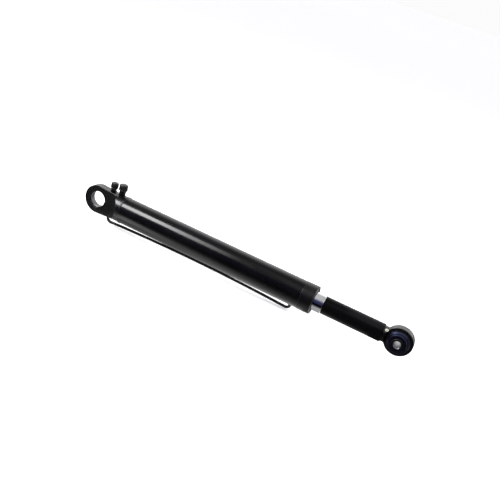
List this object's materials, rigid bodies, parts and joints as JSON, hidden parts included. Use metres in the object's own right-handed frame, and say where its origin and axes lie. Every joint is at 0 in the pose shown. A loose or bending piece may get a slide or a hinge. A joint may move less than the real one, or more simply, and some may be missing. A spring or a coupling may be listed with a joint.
{
  "type": "telescopic hydraulic cylinder",
  "caption": "Slim double-acting telescopic hydraulic cylinder with a flat base eye, capped oil ports, an outside return pipe, a chromed stage tube and a rubber-bushed rod eye.",
  "frame": {"origin": "centre of the bore of the base eye", "axes": "+X along the cylinder from the base eye to the rod eye, Y along the bores of both eyes, +Z towards the side with the oil ports"},
  "size_m": [0.782, 0.0626, 0.1017],
  "materials": {
    "black_paint": "gloss black paint, slightly uneven, with a soft orange-peel",
    "bushing_steel": "bored steel, dull grey",
    "turned_steel": "turned steel, oiled",
    "chrome": "ground and hard-chromed, bright",
    "guide_plastic": "filled guide strip, brown",
    "seal_polyurethane": "smooth polyurethane, green",
    "seal_rubber": "smooth moulded rubber",
    "bush_rubber": "glossy moulded black rubber",
    "bush_steel": "zinc-plated steel tube",
    "black_cap": "moulded black plastic, semi-gloss",
    "zinc_plate": "pale yellow zinc plate"
  },
  "bodies": {
    "barrel": {"base_eye": "black_paint", "base_bushing": "bushing_steel", "base_weld": "black_paint", "barrel_tube": "black_paint", "head_collar": "black_paint", "gland": "black_paint", "gland_o_ring": "seal_rubber", "gland_rod_seal": "seal_polyurethane", "gland_guide_rings": "guide_plastic", "gland_wiper": "seal_rubber", "return_pipe": "black_paint", "pipe_boss": "black_paint", "port_fitting_a": "black_paint", "port_fitting_b": "black_paint", "port_washers": "black_paint", "port_cap_a": "black_cap", "port_cap_b": "black_cap"},
    "stage": {"stage_tube": "chrome", "stage_piston": "turned_steel", "stage_piston_seal": "seal_polyurethane", "stage_guide_rings": "guide_plastic", "stage_o_ring": "seal_rubber", "stage_stop_tube": "turned_steel", "inner_gland": "turned_steel", "inner_gland_o_ring": "seal_rubber", "inner_rod_seal": "seal_polyurethane", "inner_guide_ring": "guide_plastic", "inner_wiper": "seal_rubber"},
    "rod_rings": {"rod_piston_seal": "seal_polyurethane", "rod_guide_ring": "guide_plastic"},
    "rod": {"inner_rod": "chrome", "rod_piston": "turned_steel", "rod_piston_nut": "zinc_plate", "rod_stop_tube": "turned_steel", "rod_sleeve": "black_paint", "sleeve_weld": "black_paint", "rod_eye": "black_paint", "eye_lock_screw": "zinc_plate", "bush_outer_sleeve": "bush_steel", "bush_rubber": "bush_rubber"},
    "bush": {"bush_inner_sleeve": "bush_steel"}
  },
  "joints": [
    {"name": "stage_slide", "type": "slide", "parent": "barrel", "child": "stage", "axis": [1, 0, 0], "range_m": [0, 0.34]},
    {"name": "rod_slide", "type": "slide", "parent": "stage", "child": "rod_rings", "axis": [1, 0, 0], "range_m": [0, 0.325]},
    {"name": "rod_turn", "type": "hinge", "parent": "rod_rings", "child": "rod", "pos_m": [0.159, 0, 0], "axis": [1, 0, 0], "continuous": true},
    {"name": "bush_twist", "type": "hinge", "parent": "rod", "child": "bush", "pos_m": [0.72, 0, 0], "axis": [0, 1, 0], "range_deg": [-12, 12], "stiffness_Nm_per_rad": 30}
  ]
}
